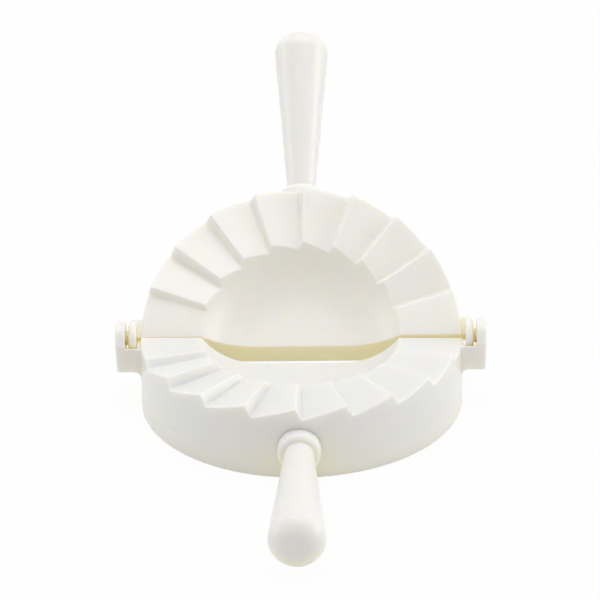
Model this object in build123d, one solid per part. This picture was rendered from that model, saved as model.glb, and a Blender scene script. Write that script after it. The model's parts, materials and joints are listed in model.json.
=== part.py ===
from build123d import *
from math import acos, asin, atan2, cos, hypot, radians, sin, sqrt
import os

# Empanada press: two half-round moulded jaws, hinged along their straight sides.
# Each jaw carries a pleated sealing ring round half a bowl, and a handle.
# Working frame: the hinge axis is the X axis, and the front jaw lies flat towards -Y
# with its mating plane at z = 0. The finished parts are set down on z = 0.

# ---- driving dimensions, in millimetres and degrees ----

# jaw shells
JAW_RADIUS = 45.3        # outside of the ring at the mating plane
SKIRT_FLARE = 0.3        # how much wider the skirt is at its bottom rim
SKIRT_HEIGHT = 19.8      # mating plane down to the bottom rim
SKIRT_WALL = 2.0
RING_WALL = 2.0          # pleated ring, measured straight down
END_WALL = 2.0           # straight wall along the hinge line
HINGE_GAP = 0.4          # between the two straight walls when the press lies open
CLOSING_GAP = 0.4        # between the two pleated rings when the press is shut
OPEN_TILT = 40.5         # how far the rear jaw leans up from flat at rest

# pleats
PLEATS = 10              # flat facets on each half ring
PLEAT_HEIGHT = 3.4       # crest over valley at the outside of the ring
STEP_ANGLE = 2.2         # width of the steep side of a pleat
END_PLEAT_LIFT = 0.45    # rise or drop of the two facets beside the hinge line
PLEAT_ROUND = 0.5        # rounded crests and valleys
RIM_ROUND = 0.4          # rounded outer edge of the ring

# bowl
BOWL_FLOOR_RADIUS = 11.8
BOWL_DEPTH = 8.3
BOWL_CURVE = 20.0        # radius of the wall that rises from the floor
BOWL_WALL = 2.0
BOWL_ROUND = 0.5         # rounded edge between the bowl and the pleats

# handles
HANDLE_DROP = 10.5       # handle axis below the mating plane
HANDLE_LENGTH = 53.5     # skirt to tip
END_RADIUS = 7.8         # handle at its thick end
NECK_RADIUS = 4.05       # handle at its collar
COLLAR_RIM = 1.95        # how far the collar stands out from the neck
COLLAR_LENGTH = 4.1
SPIGOT_RADIUS = 3.2
SPIGOT_LENGTH = 9.0      # from the outside of the skirt inwards
SPIGOT_CHAMFER = 0.6
SPIGOT_FIT = 0.03        # radial clearance of the spigot in its socket
SEAT_GAP = 0.02          # collar to skirt
SOCKET_WALL = 1.7
SOCKET_RIB = 1.6         # rib that ties the socket to the ring

# hinge ears
POCKET_OFFSET = 0.6      # outside of the ring to the pocket's inner wall
CHEEK_WALL = 2.85
CHEEK_DRAFT = 0.35       # how far the outside of a cheek leans in at its foot
LUG_WALL = 2.25
LUG_RADIUS = 4.6         # round head of the lug about the hinge axis
LUG_ROUND = 1.7          # rounded outer edge of the lug
LUG_OUTER_GAP = 0.8      # lug to cheek
LUG_INNER_GAP = 0.6      # lug to the pocket's inner wall
LUG_RIM_GAP = 0.35       # lug head to the round pocket it turns in
PIN_RADIUS = 2.0
PIN_FIT = 0.05           # radial clearance of a pin in its cheek
PIN_RECESS = 0.3         # pin end below the outside of the cheek
CHEEK_RIM = 0.2          # round head of the cheek outside the lug's head
POCKET_FLOOR = 3.25      # below the round pocket
POCKET_FRONT = 0.55      # in front of the round pocket
EAR_BACK = 3.4           # hinge axis to the back of the pocket's foot
EAR_STEP = 0.15          # an ear's top and end below those of the ring beside it
WEB_GAP = 0.6            # pocket's foot to the web that carries a lug, lying open
WEB_WALL = 2.1
WEB_CORNER = 1.6         # rounded outer corner of the web
BOTTOM_FILLET = 2.6      # under an ear, into the skirt
SIDE_FILLET = 1.4        # beside an ear, into the skirt
EAR_ROUND = 0.3          # rounded edges of the ears
EDGE_ROUND = 0.3         # rounded edges of the walls, the lug's inside and the pin

CUT_MARGIN = 1.0         # how far a cutting shape runs past what it cuts

# ---- values that follow ----

FACE_Z = -CLOSING_GAP / 2
HALF_GAP = HINGE_GAP / 2
PITCH = 180.0 / PLEATS
BASE_RADIUS = JAW_RADIUS + SKIRT_FLARE
DRAFT = SKIRT_FLARE / SKIRT_HEIGHT
OVERCUT = CUT_MARGIN + PLEAT_HEIGHT
FAN_RADIUS = BASE_RADIUS + OVERCUT
COLLAR_RADIUS = NECK_RADIUS + COLLAR_RIM
COLLAR_ROUND = 0.72 * COLLAR_RIM
NECK_FILLET = 0.2 * COLLAR_RIM
END_ROUND = 0.66 * END_RADIUS
CROWN_RADIUS = 4 * END_RADIUS
HANDLE_REST = HALF_GAP + JAW_RADIUS + DRAFT * HANDLE_DROP
POCKET_INSIDE = JAW_RADIUS + POCKET_OFFSET
LUG_INSIDE = POCKET_INSIDE + LUG_INNER_GAP
LUG_OUTSIDE = LUG_INSIDE + LUG_WALL
CHEEK_INSIDE = LUG_OUTSIDE + LUG_OUTER_GAP
EAR_HALF_SPAN = CHEEK_INSIDE + CHEEK_WALL
POCKET_RADIUS = LUG_RADIUS + LUG_RIM_GAP
CHEEK_RADIUS = LUG_RADIUS + CHEEK_RIM
BLOCK_FRONT = POCKET_RADIUS + POCKET_FRONT
EAR_HEIGHT = POCKET_RADIUS + POCKET_FLOOR
EAR_TOP = FACE_Z - END_PLEAT_LIFT - EAR_STEP
EAR_END = HALF_GAP + EAR_STEP
WEB_FRONT = EAR_BACK + WEB_GAP
WEB_BACK = WEB_FRONT + WEB_WALL

FRONT = -1
REAR = 1
TINY = 1e-3
SHARP_ANGLE = 20.0


def skirt_radius(z, inset):
    """Radius of the drafted skirt at height z, taken in by inset."""
    return JAW_RADIUS - DRAFT * z - inset


def box(x0, x1, y0, y1, z0, z1):
    """Block between two corners."""
    middle = ((x0 + x1) / 2, (y0 + y1) / 2, (z0 + z1) / 2)
    return Pos(*middle) * Box(abs(x1 - x0), abs(y1 - y0), abs(z1 - z0))


def rod(radius, x0, x1):
    """Round bar on the hinge axis from x0 to x1."""
    middle = (x0 + x1) / 2
    return Pos(middle, 0, 0) * Rot(0, 90, 0) * Cylinder(radius, abs(x1 - x0))


def across(outline):
    """Outline drawn in the plane of x and z, as a face."""
    return Plane.XZ * make_face(outline)


def pushed(face, y0, y1):
    """A front view pushed from y0 to y1."""
    return Pos(0, y1, 0) * extrude(face, amount=y1 - y0)


# ---- jaws ----

def drafted_disc(side, inset):
    """Full drafted round of the skirt, taken in by inset all round."""
    low = -SKIRT_HEIGHT - (OVERCUT if inset else 0)
    high = OVERCUT
    cone = Cone(skirt_radius(low, inset), skirt_radius(high, inset), high - low)
    return Pos(0, side * HALF_GAP, (low + high) / 2) * cone


def pleat_line(side):
    """Angle and height of each break in the ring's rim, from right to left."""
    rise = PLEAT_HEIGHT / 2
    line = [(0.0, -END_PLEAT_LIFT)]
    for k in range(1, PLEATS):
        valley = -END_PLEAT_LIFT if k == 1 else -rise
        crest = END_PLEAT_LIFT if k == PLEATS - 1 else rise
        line.append((k * PITCH - STEP_ANGLE / 2, valley))
        line.append((k * PITCH + STEP_ANGLE / 2, crest))
    line.append((180.0, END_PLEAT_LIFT))
    return [(angle, -side * height) for angle, height in line]


def under_the_pleats(side, drop):
    """Everything below the pleated surface once that is lowered by drop.

    Each facet and each step is a plane through the middle of the ring, so the
    pleats grow with the radius and the rear ring is the front ring's mould.
    """
    top_z = FACE_Z - drop
    floor_z = -SKIRT_HEIGHT - 2 * OVERCUT
    apex = Vector(0, side * HALF_GAP, top_z)
    rim = []
    foot = []
    for angle, height in pleat_line(side):
        x = FAN_RADIUS * cos(radians(angle))
        y = side * (HALF_GAP + FAN_RADIUS * sin(radians(angle)))
        rim.append(Vector(x, y, top_z + height * FAN_RADIUS / JAW_RADIUS))
        foot.append(Vector(x, y, floor_z))
    faces = [polygon(foot), polygon([rim[0], apex, rim[-1], foot[-1], foot[0]])]
    for a, b, c, d in zip(rim, rim[1:], foot[1:], foot):
        faces.append(polygon([apex, a, b]))
        faces.append(polygon([a, b, c, d]))
    return Solid(Shell(faces))


def polygon(corners):
    """Flat face through the corners."""
    return Face(Wire.make_polygon(corners, close=True))


def dish(side, wall):
    """Round dish whose surface lies a wall outside the bowl's own surface."""
    floor_z = -BOWL_DEPTH - wall
    curve = BOWL_CURVE + wall
    top_z = PLEAT_HEIGHT
    turn = acos((curve + floor_z - top_z) / curve)
    corner = (BOWL_FLOOR_RADIUS, floor_z)
    middle = (BOWL_FLOOR_RADIUS + curve * sin(turn / 2), floor_z + curve * (1 - cos(turn / 2)))
    end = (BOWL_FLOOR_RADIUS + curve * sin(turn), top_z)
    section = Polyline(end, (0, top_z), (0, floor_z), corner) + ThreePointArc(corner, middle, end)
    return Pos(0, side * HALF_GAP, 0) * revolve(across(section), Axis.Z)


def hollow(side):
    """Open underside of a jaw, which leaves its walls evenly thick."""
    reach = side * 2 * BASE_RADIUS
    beyond_wall = box(-reach, reach, side * (HALF_GAP + END_WALL), reach, -reach, reach)
    space = drafted_disc(side, SKIRT_WALL) & under_the_pleats(side, RING_WALL) & beyond_wall
    return space - dish(side, BOWL_WALL)


def socket(side):
    """Tube inside the skirt that takes the handle's spigot, and its rib."""
    wall_middle = HANDLE_REST - SKIRT_WALL / 2
    inner_end = HANDLE_REST - SPIGOT_LENGTH
    length = wall_middle - inner_end
    place = Pos(0, side * (inner_end + length / 2), -HANDLE_DROP)
    tube = place * Rot(90, 0, 0) * Cylinder(SPIGOT_RADIUS + SPIGOT_FIT + SOCKET_WALL, length)
    rib_top = FACE_Z - PLEAT_HEIGHT / 2 - RING_WALL / 2
    y_ends = (side * inner_end, side * wall_middle)
    rib = box(-SOCKET_RIB / 2, SOCKET_RIB / 2, *y_ends, -HANDLE_DROP, rib_top)
    return tube + rib


def socket_bore(side):
    """Hole through the skirt and the socket."""
    length = SPIGOT_LENGTH + 2 * OVERCUT
    place = Pos(0, side * (HANDLE_REST - SPIGOT_LENGTH / 2), -HANDLE_DROP)
    return place * Rot(90, 0, 0) * Cylinder(SPIGOT_RADIUS + SPIGOT_FIT, length)


def on_end_plane(point):
    """Whether a point lies on a jaw's straight side."""
    return abs(abs(point.Y) - HALF_GAP) < TINY


def pleat_edges(body, side):
    """Crests and valleys: the straight edges that point to the ring's middle."""
    apex = Vector(0, side * HALF_GAP, FACE_Z)
    edges = []
    for edge in body.edges().filter_by(GeomType.LINE):
        start, end = edge @ 0, edge @ 1
        towards = (end - start).cross(apex - start).length / edge.length
        if towards < TINY and not (on_end_plane(start) and on_end_plane(end)):
            edges.append(edge)
    return edges


def edges_of(face):
    """Edges of a face that don't lie along the jaw's straight side."""
    return [edge for edge in face.edges() if not on_end_plane(edge @ 0.5)]


def ring_and_bowl(side):
    """Solid half round with its pleats and its bowl, and their rounded edges."""
    body = drafted_disc(side, 0) & under_the_pleats(side, 0)
    body = body - dish(side, 0)
    body = fillet(pleat_edges(body, side), PLEAT_ROUND)
    skirt = body.faces().filter_by(GeomType.CONE).sort_by(SortBy.AREA)[-1]
    foot = skirt.edges().sort_by(Axis.Z)[0]
    body = fillet([edge for edge in edges_of(skirt) if edge != foot], RIM_ROUND)
    bowl = body.faces().filter_by(GeomType.REVOLUTION).sort_by(SortBy.AREA)[-1]
    floor = bowl.edges().sort_by(Axis.Z)[0]
    body = fillet([edge for edge in edges_of(bowl) if edge != floor], BOWL_ROUND)
    end_face = body.faces().filter_by(Axis.Y).sort_by(SortBy.AREA)[-1]
    foot_face = body.faces().sort_by(Axis.Z)[0]
    return fillet(list(set(end_face.edges()) | set(foot_face.edges())), EDGE_ROUND)


def jaw_shell(side):
    """Pleated ring, half bowl, skirt and end wall in one moulding."""
    body = ring_and_bowl(side) - hollow(side)
    return body + socket(side) - socket_bore(side)


# ---- hinge ears, drawn on the right and mirrored to the left ----

def ear_front_view(outer_points):
    """Ear seen from the front: outer points between the skirt and its lower fillet."""
    foot_z = -EAR_HEIGHT
    fillet_z = foot_z - BOTTOM_FILLET
    skirt_x = skirt_radius(fillet_z, 0) - SKIRT_WALL / 4
    root_x = JAW_RADIUS - SKIRT_WALL / 2
    bottom = (skirt_x + BOTTOM_FILLET, foot_z)
    tangent = (skirt_x, fillet_z)
    bend = BOTTOM_FILLET * (1 - sqrt(0.5))
    middle = (skirt_x + bend, foot_z - bend)
    sides = Polyline(tangent, (root_x, fillet_z), (root_x, EAR_TOP), *outer_points, bottom)
    return across(sides + ThreePointArc(bottom, middle, tangent))


def side_fillet(side, edge_y):
    """Curve that runs from an ear's edge out along the skirt, in plan."""
    end_y = edge_y + SIDE_FILLET
    skirt_x = sqrt(JAW_RADIUS ** 2 - (end_y - HALF_GAP) ** 2) - SKIRT_WALL / 4
    bend = SIDE_FILLET * (1 - sqrt(0.5))
    start = (skirt_x + SIDE_FILLET, side * edge_y)
    middle = (skirt_x + bend, side * (edge_y + bend))
    end = (skirt_x, side * end_y)
    return start, middle, end


def sharp_edges(body):
    """Edges of an ear, clear of the ring, where two faces meet at an angle."""
    meeting = {}
    for face in body.faces():
        for edge in face.edges():
            meeting.setdefault(edge, []).append(face)
    sharp = []
    for edge, faces in meeting.items():
        if len(faces) == 2 and min((edge @ 0).X, (edge @ 1).X) > JAW_RADIUS:
            one, other = (face.normal_at(edge @ 0.5) for face in faces)
            if one.get_angle(other) > SHARP_ANGLE:
                sharp.append(edge)
    return sharp


def upright(face):
    """A plan view pushed up and down past the ears."""
    return extrude(face, amount=2 * SKIRT_HEIGHT, both=True)


def cheek_and_pocket():
    """Front jaw's ear: a block with a round pocket for the lug, and its cheek."""
    outline = ear_front_view([
        (CHEEK_INSIDE, EAR_TOP),
        (CHEEK_INSIDE, CHEEK_RADIUS),
        (EAR_HALF_SPAN, CHEEK_RADIUS),
        (EAR_HALF_SPAN - CHEEK_DRAFT, -EAR_HEIGHT),
    ])
    front_view = pushed(outline, -2 * BLOCK_FRONT, 2 * BLOCK_FRONT)

    start, middle, end = side_fillet(FRONT, BLOCK_FRONT)
    root_x = end[0] - SKIRT_WALL / 4
    far = 2 * EAR_HALF_SPAN
    plan_sides = Polyline(
        end, (root_x, end[1]), (root_x, -EAR_END), (POCKET_INSIDE, -EAR_END),
        (POCKET_INSIDE, EAR_BACK), (CHEEK_INSIDE, EAR_BACK), (CHEEK_INSIDE, far),
        (far, far), (far, -BLOCK_FRONT), start)
    plan = upright(make_face(plan_sides + ThreePointArc(start, middle, end)))

    ear = front_view & plan & cheek_side_view()
    ear = ear - lug_pocket() - rod(PIN_RADIUS + PIN_FIT, LUG_INSIDE, far)
    return fillet(sharp_edges(ear), EAR_ROUND)


def cheek_side_view():
    """Cheek and block seen along the hinge: a round head that slopes into the block."""
    low_z = -EAR_HEIGHT - BOTTOM_FILLET
    far = 2 * EAR_HALF_SPAN
    slope = acos(CHEEK_RADIUS / BLOCK_FRONT)
    meets_head = (-CHEEK_RADIUS * cos(slope), CHEEK_RADIUS * sin(slope))
    head_front = Polyline((-BLOCK_FRONT, 0), meets_head, (0, 0), close=True)
    view = extrude(Plane.YZ * make_face(head_front), amount=far) + rod(CHEEK_RADIUS, 0, far)
    return view + box(0, far, -BLOCK_FRONT - SIDE_FILLET, CHEEK_RADIUS, low_z, 0)


def lug_pocket():
    """Space that the lug's round head turns in, open upwards and to the back."""
    far = 2 * EAR_HALF_SPAN
    span = (POCKET_INSIDE, CHEEK_INSIDE)
    pocket = rod(POCKET_RADIUS, *span)
    pocket += box(*span, -POCKET_RADIUS, far, 0, far)
    return pocket + box(*span, 0, far, -POCKET_RADIUS, far)


def lug_and_pin():
    """Rear jaw's ear: web, arm, round lug head and the pin that snaps in."""
    outline = ear_front_view([(LUG_OUTSIDE, EAR_TOP), (LUG_OUTSIDE, -EAR_HEIGHT)])
    front_view = pushed(outline, 0, 2 * WEB_BACK)

    start, middle, end = side_fillet(REAR, WEB_BACK)
    root_x = end[0] - SKIRT_WALL / 4
    corner_in = (LUG_OUTSIDE, WEB_BACK - WEB_CORNER)
    corner_out = (LUG_OUTSIDE - WEB_CORNER, WEB_BACK)
    bend = WEB_CORNER * (1 - sqrt(0.5))
    corner_middle = (LUG_OUTSIDE - bend, WEB_BACK - bend)
    plan_edges = Polyline(end, (root_x, end[1]), (root_x, WEB_FRONT), (LUG_OUTSIDE, WEB_FRONT), corner_in)
    plan_edges += ThreePointArc(corner_in, corner_middle, corner_out)
    plan_edges += Line(corner_out, start)
    plan_edges += ThreePointArc(start, middle, end)
    web = front_view & upright(make_face(plan_edges))
    return fillet(sharp_edges(web), EAR_ROUND) + lug_plate() + lug_bridge() + pin()


def lug_plate():
    """Round lug head and the arm that joins it to the web, both of one section."""
    middle_x = (LUG_INSIDE + LUG_OUTSIDE) / 2
    section = Pos(middle_x, LUG_RADIUS / 2) * Rectangle(LUG_WALL, LUG_RADIUS)
    for place, radius in ((-1, LUG_ROUND), (0, EDGE_ROUND)):
        rim_corners = section.vertices().group_by(Axis.Y)[-1].sort_by(Axis.X)
        section = fillet(rim_corners[place], radius)
    head = revolve(Plane.XZ * section, Axis.X)
    arm = pushed(Plane.XZ * mirror(section, Plane.XZ), 0, WEB_BACK - WEB_CORNER)
    return head + (arm & box(0, LUG_OUTSIDE, 0, WEB_BACK, -LUG_RADIUS, EAR_TOP))


def lug_bridge():
    """Block behind the straight wall that joins the lug to the ring."""
    root_x = JAW_RADIUS - SKIRT_WALL / 2
    lug_middle = (LUG_INSIDE + LUG_OUTSIDE) / 2
    web_middle = (WEB_FRONT + WEB_BACK) / 2
    return box(root_x, lug_middle, EAR_END, web_middle, -LUG_RADIUS, EAR_TOP)


def pin():
    """Hinge pin from the lug out into the cheek, with a rounded end."""
    bar = rod(PIN_RADIUS, LUG_INSIDE + EDGE_ROUND, EAR_HALF_SPAN - PIN_RECESS)
    return fillet(bar.edges().filter_by(GeomType.CIRCLE).sort_by(Axis.X)[-1], EDGE_ROUND)


def both_sides(ear):
    """An ear and its mirror image."""
    return ear + mirror(ear, Plane.YZ)


# ---- handles ----

def handle():
    """Handle along +Y with its collar's seat at y = 0: spigot, collar, cone and crown."""
    return revolve(make_face(handle_foot() + handle_end()), Axis.Y)


def cone_and_end():
    """Angle of the cone, and the middle of the round between it and the crown."""
    span = CROWN_RADIUS - END_ROUND
    middle = Vector(END_RADIUS - END_ROUND, 0)
    middle.Y = HANDLE_LENGTH - CROWN_RADIUS + sqrt(span ** 2 - middle.X ** 2)
    from_neck = middle - Vector(NECK_RADIUS, COLLAR_LENGTH)
    angle = atan2(from_neck.X, from_neck.Y) + asin(END_ROUND / from_neck.length)
    return angle, middle


def handle_end():
    """Half outline of the cone, the rounded end and its shallow crown."""
    cone_angle, middle = cone_and_end()
    crown_middle = Vector(0, HANDLE_LENGTH - CROWN_RADIUS)
    crown_turn = atan2(middle.X, middle.Y - crown_middle.Y)
    turn_end = radians(90) - crown_turn
    round_points = [
        middle + END_ROUND * Vector(cos(turn), sin(turn))
        for turn in (-cone_angle, (turn_end - cone_angle) / 2, turn_end)]
    crown_point = crown_middle + CROWN_RADIUS * Vector(sin(crown_turn / 2), cos(crown_turn / 2))
    outline = Line(neck_up(cone_angle), round_points[0]) + ThreePointArc(*round_points)
    return outline + ThreePointArc(round_points[-1], crown_point, Vector(0, HANDLE_LENGTH))


def neck_up(cone_angle):
    """Point where the cone leaves the fillet at the collar."""
    return Vector(NECK_RADIUS + NECK_FILLET * cone_angle, COLLAR_LENGTH + NECK_FILLET)


def handle_foot():
    """Half outline of the spigot, the collar and the fillet at the neck."""
    spigot_end = -SPIGOT_LENGTH
    collar_back = -SKIRT_WALL
    collar_bend = COLLAR_ROUND * (1 - sqrt(0.5))
    collar_side = (COLLAR_RADIUS, COLLAR_LENGTH - COLLAR_ROUND)
    collar_face = (COLLAR_RADIUS - COLLAR_ROUND, COLLAR_LENGTH)
    collar_middle = (COLLAR_RADIUS - collar_bend, COLLAR_LENGTH - collar_bend)
    neck_out = (NECK_RADIUS + NECK_FILLET, COLLAR_LENGTH)
    neck_bend = NECK_FILLET * (1 - sqrt(0.5))
    neck_middle = (NECK_RADIUS + neck_bend, COLLAR_LENGTH + neck_bend)

    section = Polyline(
        (0, HANDLE_LENGTH), (0, spigot_end), (SPIGOT_RADIUS - SPIGOT_CHAMFER, spigot_end),
        (SPIGOT_RADIUS, spigot_end + SPIGOT_CHAMFER), (SPIGOT_RADIUS, collar_back),
        (COLLAR_RADIUS, collar_back), collar_side)
    section += ThreePointArc(collar_side, collar_middle, collar_face)
    section += Line(collar_face, neck_out)
    cone_angle, _ = cone_and_end()
    return section + ThreePointArc(neck_out, neck_middle, neck_up(cone_angle))


def seated_handle(side):
    """Handle set in its jaw, with its collar hollowed to sit on the round skirt."""
    turned = Rot(0, 0, 0 if side == REAR else 180) * handle()
    placed = Pos(0, side * HANDLE_REST, -HANDLE_DROP) * turned
    return placed - (drafted_disc(side, -SEAT_GAP) - socket_bore(side))


# ---- assembly ----

def leaning(shape):
    """A rear part turned up about the hinge axis."""
    return Rot(OPEN_TILT, 0, 0) * shape


parts = {
    "front_jaw": jaw_shell(FRONT) + both_sides(cheek_and_pocket()),
    "front_handle": seated_handle(FRONT),
    "rear_jaw": leaning(jaw_shell(REAR) + both_sides(lug_and_pin())),
    "rear_handle": leaning(seated_handle(REAR)),
}

extent = Compound(children=[Compound(shape.solids()) for shape in parts.values()]).bounding_box()
set_down = Pos(0, -extent.center().Y, -extent.min.Z)
os.makedirs("parts", exist_ok=True)
for name, shape in parts.items():
    export_step(set_down * shape, f"parts/{name}.step")

print("hinge axis y", -extent.center().Y, "z", -extent.min.Z)
print("size", extent.size)
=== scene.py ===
"""Looks of an empanada press: two hinged, pleated jaws of ivory moulded plastic.

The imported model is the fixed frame. Every length here is in metres, in that frame:
+Z is up, the press rests on z = 0 and its hinge axis runs along X.
"""

from __future__ import annotations

import json
import logging
import math
from dataclasses import dataclass, field
from enum import Enum
from typing import ClassVar

import bpy
from mathutils import Matrix, Vector

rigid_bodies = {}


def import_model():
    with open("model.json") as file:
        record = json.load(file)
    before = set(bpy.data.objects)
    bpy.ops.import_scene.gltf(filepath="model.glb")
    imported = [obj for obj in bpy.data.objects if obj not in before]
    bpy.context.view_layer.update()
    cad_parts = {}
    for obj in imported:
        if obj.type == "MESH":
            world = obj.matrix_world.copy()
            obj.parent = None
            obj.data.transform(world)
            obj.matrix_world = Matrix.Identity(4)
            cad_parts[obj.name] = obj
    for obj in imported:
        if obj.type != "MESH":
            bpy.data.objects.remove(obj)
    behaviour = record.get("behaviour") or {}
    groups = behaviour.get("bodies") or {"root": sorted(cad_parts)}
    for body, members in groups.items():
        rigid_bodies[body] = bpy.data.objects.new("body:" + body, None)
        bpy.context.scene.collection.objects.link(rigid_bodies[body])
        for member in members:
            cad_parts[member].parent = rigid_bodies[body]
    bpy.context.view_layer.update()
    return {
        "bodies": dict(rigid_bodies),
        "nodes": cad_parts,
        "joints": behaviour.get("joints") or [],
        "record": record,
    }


LOG = logging.getLogger("empanada_press")

PICTURE_SIDE = 600
SENSOR_WIDTH_MM = 36.0
NEAREST_SEEN = 0.01
FARTHEST_SEEN = 100.0
PALE_BOUNCES = 16
NODE_SPACING = 200
WHITE = (1.0, 1.0, 1.0, 1.0)


class Side(Enum):
    """The two halves of the press, on either side of its hinge."""

    FRONT = "front"
    REAR = "rear"


class Ray(Enum):
    """Outputs of the Light Path node that see the white studio."""

    CAMERA = "Is Camera Ray"
    GLOSSY = "Is Glossy Ray"
    TRANSMISSION = "Is Transmission Ray"


@dataclass
class NodeTree:
    """Thin helper that adds and links the nodes of a material or a world."""

    tree: bpy.types.NodeTree
    column: int = 0

    def add(self, kind: str, **values: object) -> bpy.types.Node:
        """Adds a node and sets its properties and unlinked sockets.

        Args:
            kind: Blender's identifier of the node's type.
            **values: property names, or socket names with underscores for spaces.

        Returns:
            The new node.
        """
        node = self.tree.nodes.new(kind)
        node.location = (NODE_SPACING * self.column, 0)
        self.column += 1
        for name, value in values.items():
            if hasattr(node, name):
                setattr(node, name, value)
            else:
                node.inputs[name.replace("_", " ")].default_value = value
        return node

    def link(self, source: bpy.types.NodeSocket, target: bpy.types.NodeSocket) -> None:
        """Links one socket to another."""
        self.tree.links.new(source, target)


def cleared_tree(owner: bpy.types.Material | bpy.types.World) -> NodeTree:
    """Turns an owner's nodes on and empties them.

    Args:
        owner: the material or world.

    Returns:
        A helper on its empty node tree.
    """
    owner.use_nodes = True
    owner.node_tree.nodes.clear()
    return NodeTree(owner.node_tree)


def seen_directly(nodes: NodeTree) -> bpy.types.NodeSocket:
    """Adds a socket that is 1 for rays that may see the white studio.

    Args:
        nodes: the tree to add to.

    Returns:
        The socket.
    """
    path = nodes.add("ShaderNodeLightPath")
    total = path.outputs[Ray.CAMERA.value]
    for ray in (Ray.GLOSSY, Ray.TRANSMISSION):
        either = nodes.add("ShaderNodeMath", operation="MAXIMUM")
        nodes.link(total, either.inputs[0])
        nodes.link(path.outputs[ray.value], either.inputs[1])
        total = either.outputs[0]
    return total


# ---- finishes ----

@dataclass(frozen=True)
class Noise:
    """A cloudy pattern on a surface, by the length of its cells and its finer layers."""

    size: float
    detail: float

    def pattern(self, nodes: NodeTree, place: bpy.types.NodeSocket) -> bpy.types.NodeSocket:
        """Adds the pattern.

        Args:
            nodes: the tree to add to.
            place: coordinates of the surface.

        Returns:
            The pattern, from 0 to 1.
        """
        noise = nodes.add("ShaderNodeTexNoise", Scale=1.0 / self.size, Detail=self.detail)
        nodes.link(place, noise.inputs["Vector"])
        return noise.outputs["Fac"]


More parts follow.
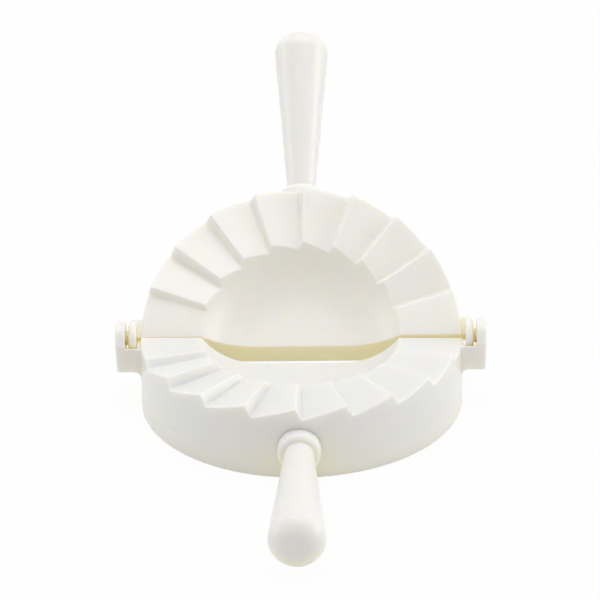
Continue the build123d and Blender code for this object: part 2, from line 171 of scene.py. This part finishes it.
@dataclass(frozen=True)
class MouldedPlastic:
    """Ivory polypropylene: milky depth, a satin skin, faint moulding marks and painted warm
    shade in its pockets.
    """

    name: str
    color: tuple[float, float, float] = (0.884, 0.871, 0.840)
    cloud_color: tuple[float, float, float] = (0.897, 0.885, 0.858)
    clouds: Noise = Noise(size=0.030, detail=3.0)
    # painted shade: warm colour put in pockets and crevices where near walls shut light in, with
    # how far and how open they count
    painted_pocket_shade_color: tuple[float, float, float] = (1.000, 0.918, 0.660)
    painted_shade_reach: float = 0.026
    painted_shade_openness: float = 0.70
    painted_shade_samples: int = 4
    depth_share: float = 0.90
    depth_scale: float = 0.0025
    depth_radius: tuple[float, float, float] = (1.0, 0.86, 0.55)
    gloss_roughness: tuple[float, float] = (0.24, 0.36)
    polish: Noise = Noise(size=0.012, detail=6.0)
    ior: float = 1.49
    waves: Noise = Noise(size=0.016, detail=1.0)
    wave_depth: float = 0.00004
    grain: Noise = Noise(size=0.00035, detail=2.0)
    grain_depth: float = 0.0000035

    def material(self) -> bpy.types.Material:
        """Builds the material.

        Returns:
            The new material.
        """
        material = bpy.data.materials.new(self.name)
        nodes = cleared_tree(material)
        place = nodes.add("ShaderNodeTexCoord").outputs["Object"]
        shader = nodes.add("ShaderNodeBsdfPrincipled")
        shader.inputs["IOR"].default_value = self.ior
        shader.inputs["Subsurface Weight"].default_value = self.depth_share
        shader.inputs["Subsurface Radius"].default_value = self.depth_radius
        shader.inputs["Subsurface Scale"].default_value = self.depth_scale
        # painted warm shade in the pockets, mixed over the resin's own colour
        color = self.paint_pocket_shade(nodes, self.milky_color(nodes, place))
        nodes.link(color, shader.inputs["Base Color"])
        nodes.link(self.roughness(nodes, place), shader.inputs["Roughness"])
        nodes.link(self.relief(nodes, place), shader.inputs["Normal"])
        output = nodes.add("ShaderNodeOutputMaterial")
        nodes.link(shader.outputs["BSDF"], output.inputs["Surface"])
        return material

    def milky_color(self, nodes: NodeTree, place: bpy.types.NodeSocket) -> bpy.types.NodeSocket:
        """Adds the faint cloudiness of the milky resin.

        Args:
            nodes: the tree to add to.
            place: coordinates of the surface.

        Returns:
            The resin's colour.
        """
        mix = nodes.add("ShaderNodeMix", data_type="RGBA")
        mix.inputs["A"].default_value = (*self.color, 1.0)
        mix.inputs["B"].default_value = (*self.cloud_color, 1.0)
        nodes.link(self.clouds.pattern(nodes, place), mix.inputs["Factor"])
        return mix.outputs["Result"]

    def paint_pocket_shade(self, nodes: NodeTree, color: bpy.types.NodeSocket) -> bpy.types.NodeSocket:
        """Paints a warm shade into the colour where near walls shut light in, found by ambient
        occlusion.

        Args:
            nodes: the tree to add to.
            color: colour of the open surface.

        Returns:
            The colour with painted warm shade in the pockets.
        """
        openness = nodes.add(
            "ShaderNodeAmbientOcclusion", samples=self.painted_shade_samples, Distance=self.painted_shade_reach
        )
        share = nodes.add("ShaderNodeMapRange")
        share.inputs["From Max"].default_value = self.painted_shade_openness
        nodes.link(openness.outputs["AO"], share.inputs["Value"])
        # painted shade: mixes the warm shade colour in where the surface is less open
        mix = nodes.add("ShaderNodeMix", data_type="RGBA")
        mix.inputs["A"].default_value = (*self.painted_pocket_shade_color, 1.0)
        nodes.link(color, mix.inputs["B"])
        nodes.link(share.outputs["Result"], mix.inputs["Factor"])
        return mix.outputs["Result"]

    def roughness(self, nodes: NodeTree, place: bpy.types.NodeSocket) -> bpy.types.NodeSocket:
        """Adds the uneven gloss of the mould's polish.

        Args:
            nodes: the tree to add to.
            place: coordinates of the surface.

        Returns:
            The roughness.
        """
        spread = nodes.add("ShaderNodeMapRange")
        spread.inputs["To Min"].default_value = self.gloss_roughness[0]
        spread.inputs["To Max"].default_value = self.gloss_roughness[1]
        nodes.link(self.polish.pattern(nodes, place), spread.inputs["Value"])
        return spread.outputs["Result"]

    def relief(self, nodes: NodeTree, place: bpy.types.NodeSocket) -> bpy.types.NodeSocket:
        """Adds slow shrinkage waves and the fine grain of the mould.

        Args:
            nodes: the tree to add to.
            place: coordinates of the surface.

        Returns:
            The normal.
        """
        waves = nodes.add("ShaderNodeBump", Strength=1.0, Distance=self.wave_depth)
        nodes.link(self.waves.pattern(nodes, place), waves.inputs["Height"])
        grain = nodes.add("ShaderNodeBump", Strength=1.0, Distance=self.grain_depth)
        nodes.link(self.grain.pattern(nodes, place), grain.inputs["Height"])
        nodes.link(waves.outputs["Normal"], grain.inputs["Normal"])
        return grain.outputs["Normal"]


# ---- the press ----

@dataclass
class Moulding:
    """One moulding of the press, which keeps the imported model's place and shape."""

    side: Side
    kind: ClassVar[str]

    def dress(self, frame: dict, finish: bpy.types.Material) -> None:
        """Gives the moulding its finish.

        Args:
            frame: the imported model.
            finish: material of the moulding.
        """
        node = f"{self.side.value}_{self.kind}"
        for slot in frame["nodes"][node].material_slots:
            slot.material = finish
        LOG.info("%s moves with the %s half", node, self.side.value)


@dataclass
class Jaw(Moulding):
    """One jaw, with its pleated ring, bowl, skirt and hinge ears."""

    kind: ClassVar[str] = "jaw"


@dataclass
class Handle(Moulding):
    """One handle, with its collar, tapered neck and round end."""

    kind: ClassVar[str] = "handle"


# ---- the studio ----

@dataclass
class PhotoCamera:
    """Camera at the photograph's viewing angle, aimed at the middle of the hinge."""

    elevation_deg: float = 27.22
    heading_deg: float = -1.26
    roll_deg: float = 1.085
    distance: float = 1.100
    pixels_per_metre: float = 3538.0
    aim_pixel: tuple[float, float] = (300.9, 336.5)

    def axes(self) -> tuple[Vector, Vector, Vector]:
        """Works out how the camera is turned.

        Returns:
            Its right, up and backward directions.
        """
        rise = math.radians(self.elevation_deg)
        turn = math.radians(self.heading_deg)
        roll = math.radians(self.roll_deg)
        level = Vector((math.cos(turn), -math.sin(turn), 0.0))
        ahead = Vector((math.sin(turn), math.cos(turn), 0.0))
        upright = ahead * math.sin(rise) + Vector((0.0, 0.0, math.cos(rise)))
        back = -ahead * math.cos(rise) + Vector((0.0, 0.0, math.sin(rise)))
        right = level * math.cos(roll) - upright * math.sin(roll)
        up = level * math.sin(roll) + upright * math.cos(roll)
        return right, up, back

    def build(self, aim: Vector) -> None:
        """Makes the camera and sets it as the scene's own.

        Args:
            aim: point that the photograph shows at aim_pixel.
        """
        right, up, back = self.axes()
        middle = PICTURE_SIDE / 2
        aside = (self.aim_pixel[0] - middle) / self.pixels_per_metre
        below = (self.aim_pixel[1] - middle) / self.pixels_per_metre
        data = bpy.data.cameras.new("photo_camera")
        focal_pixels = self.pixels_per_metre * self.distance
        data.sensor_width = SENSOR_WIDTH_MM
        data.lens = focal_pixels / PICTURE_SIDE * SENSOR_WIDTH_MM
        data.clip_start = NEAREST_SEEN
        data.clip_end = FARTHEST_SEEN
        camera = bpy.data.objects.new("photo_camera", data)
        bpy.context.scene.collection.objects.link(camera)
        turn = Matrix((right, up, back)).transposed()
        place = aim - right * aside + up * below + back * self.distance
        camera.matrix_world = Matrix.Translation(place) @ turn.to_4x4()
        bpy.context.scene.camera = camera
        LOG.info("camera lens %.1f mm", data.lens)


@dataclass
class SoftBox:
    """Rectangular lamp that shines at the press."""

    name: str
    direction: tuple[float, float, float]
    distance: float
    width: float
    height: float
    power: float

    def build(self, aim: Vector) -> None:
        """Makes the lamp.

        Args:
            aim: point that the lamp faces.
        """
        data = bpy.data.lights.new(self.name, "AREA")
        data.shape = "RECTANGLE"
        data.size = self.width
        data.size_y = self.height
        data.energy = self.power
        lamp = bpy.data.objects.new(self.name, data)
        bpy.context.scene.collection.objects.link(lamp)
        away = Vector(self.direction).normalized()
        lamp.location = aim + away * self.distance
        lamp.rotation_mode = "QUATERNION"
        lamp.rotation_quaternion = away.to_track_quat("Z", "Y")


@dataclass
class Studio:
    """Pale floor, white surroundings and soft lamps."""

    floor_half: float = 12.0
    floor_depth: float = 0.0002
    floor_color: tuple[float, float, float] = (0.90, 0.90, 0.90)
    floor_white_share: float = 0.94
    surround_level: float = 0.50
    lamps: list[SoftBox] = field(default_factory=lambda: [
        SoftBox("top_box", (0.0, 0.12, 1.0), 1.2, 1.2, 1.0, 6.7),
        SoftBox("side_left", (-1.0, 0.0, 0.30), 1.4, 1.0, 0.6, 2.7),
        SoftBox("side_right", (1.0, 0.0, 0.30), 1.4, 1.0, 0.6, 4.6),
        SoftBox("left_strip", (-0.55, 0.70, 0.42), 1.3, 0.25, 0.6, 0.7),
        SoftBox("right_strip", (0.67, 0.47, 0.57), 1.3, 0.25, 0.6, 0.5),
    ])

    def build(self, aim: Vector) -> None:
        """Makes the floor, the surroundings and the lamps.

        Args:
            aim: middle of the press.
        """
        self.floor()
        self.surroundings()
        for lamp in self.lamps:
            lamp.build(aim)
        LOG.info("studio with %d lamps", len(self.lamps))

    def floor(self) -> bpy.types.Object:
        """Makes the large pale floor just under the press.

        Returns:
            The floor.
        """
        half = self.floor_half
        corners = [(-half, -half), (half, -half), (half, half), (-half, half)]
        mesh = bpy.data.meshes.new("studio_floor")
        mesh.from_pydata([(x, y, -self.floor_depth) for x, y in corners], [], [(0, 1, 2, 3)])
        mesh.materials.append(self.floor_material())
        floor = bpy.data.objects.new("studio_floor", mesh)
        bpy.context.scene.collection.objects.link(floor)
        return floor

    def floor_material(self) -> bpy.types.Material:
        """Makes a matt that looks white to the camera and still keeps the shadow.

        Returns:
            The new material.
        """
        material = bpy.data.materials.new("studio_floor")
        nodes = cleared_tree(material)
        matt = nodes.add("ShaderNodeBsdfDiffuse", Color=(*self.floor_color, 1.0))
        white = nodes.add("ShaderNodeEmission", Color=WHITE, Strength=1.0)
        share = nodes.add("ShaderNodeMath", operation="MULTIPLY")
        nodes.link(seen_directly(nodes), share.inputs[0])
        share.inputs[1].default_value = self.floor_white_share
        mix = nodes.add("ShaderNodeMixShader")
        nodes.link(share.outputs[0], mix.inputs["Fac"])
        nodes.link(matt.outputs[0], mix.inputs[1])
        nodes.link(white.outputs[0], mix.inputs[2])
        output = nodes.add("ShaderNodeOutputMaterial")
        nodes.link(mix.outputs[0], output.inputs["Surface"])
        return material

    def surroundings(self) -> None:
        """Makes the world: white to the camera, a soft even light to the press."""
        world = bpy.data.worlds.new("studio")
        bpy.context.scene.world = world
        nodes = cleared_tree(world)
        level = nodes.add("ShaderNodeMapRange")
        level.inputs["To Min"].default_value = self.surround_level
        level.inputs["To Max"].default_value = 1.0
        nodes.link(seen_directly(nodes), level.inputs["Value"])
        light = nodes.add("ShaderNodeBackground", Color=WHITE)
        nodes.link(level.outputs["Result"], light.inputs["Strength"])
        output = nodes.add("ShaderNodeOutputWorld")
        nodes.link(light.outputs[0], output.inputs["Surface"])


def set_bounces() -> None:
    """Lets light bounce often enough to fill the pockets between pale walls."""
    cycles = bpy.context.scene.cycles
    cycles.max_bounces = PALE_BOUNCES
    cycles.diffuse_bounces = PALE_BOUNCES
    cycles.glossy_bounces = PALE_BOUNCES


def main() -> None:
    """Dresses the press and builds its studio, piece by piece."""
    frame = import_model()
    bpy.context.scene.view_settings.view_transform = "Standard"
    set_bounces()

    hinge = Vector(frame["joints"][0]["pos_m"])
    jaw_finish = MouldedPlastic("ivory_jaw_plastic").material()
    handle_finish = MouldedPlastic("ivory_handle_plastic").material()
    for side in Side:
        Jaw(side).dress(frame, jaw_finish)
        Handle(side).dress(frame, handle_finish)

    PhotoCamera().build(hinge)
    Studio().build(hinge)


if __name__ == "__main__":
    logging.basicConfig(level=logging.INFO, format="%(message)s")
    main()
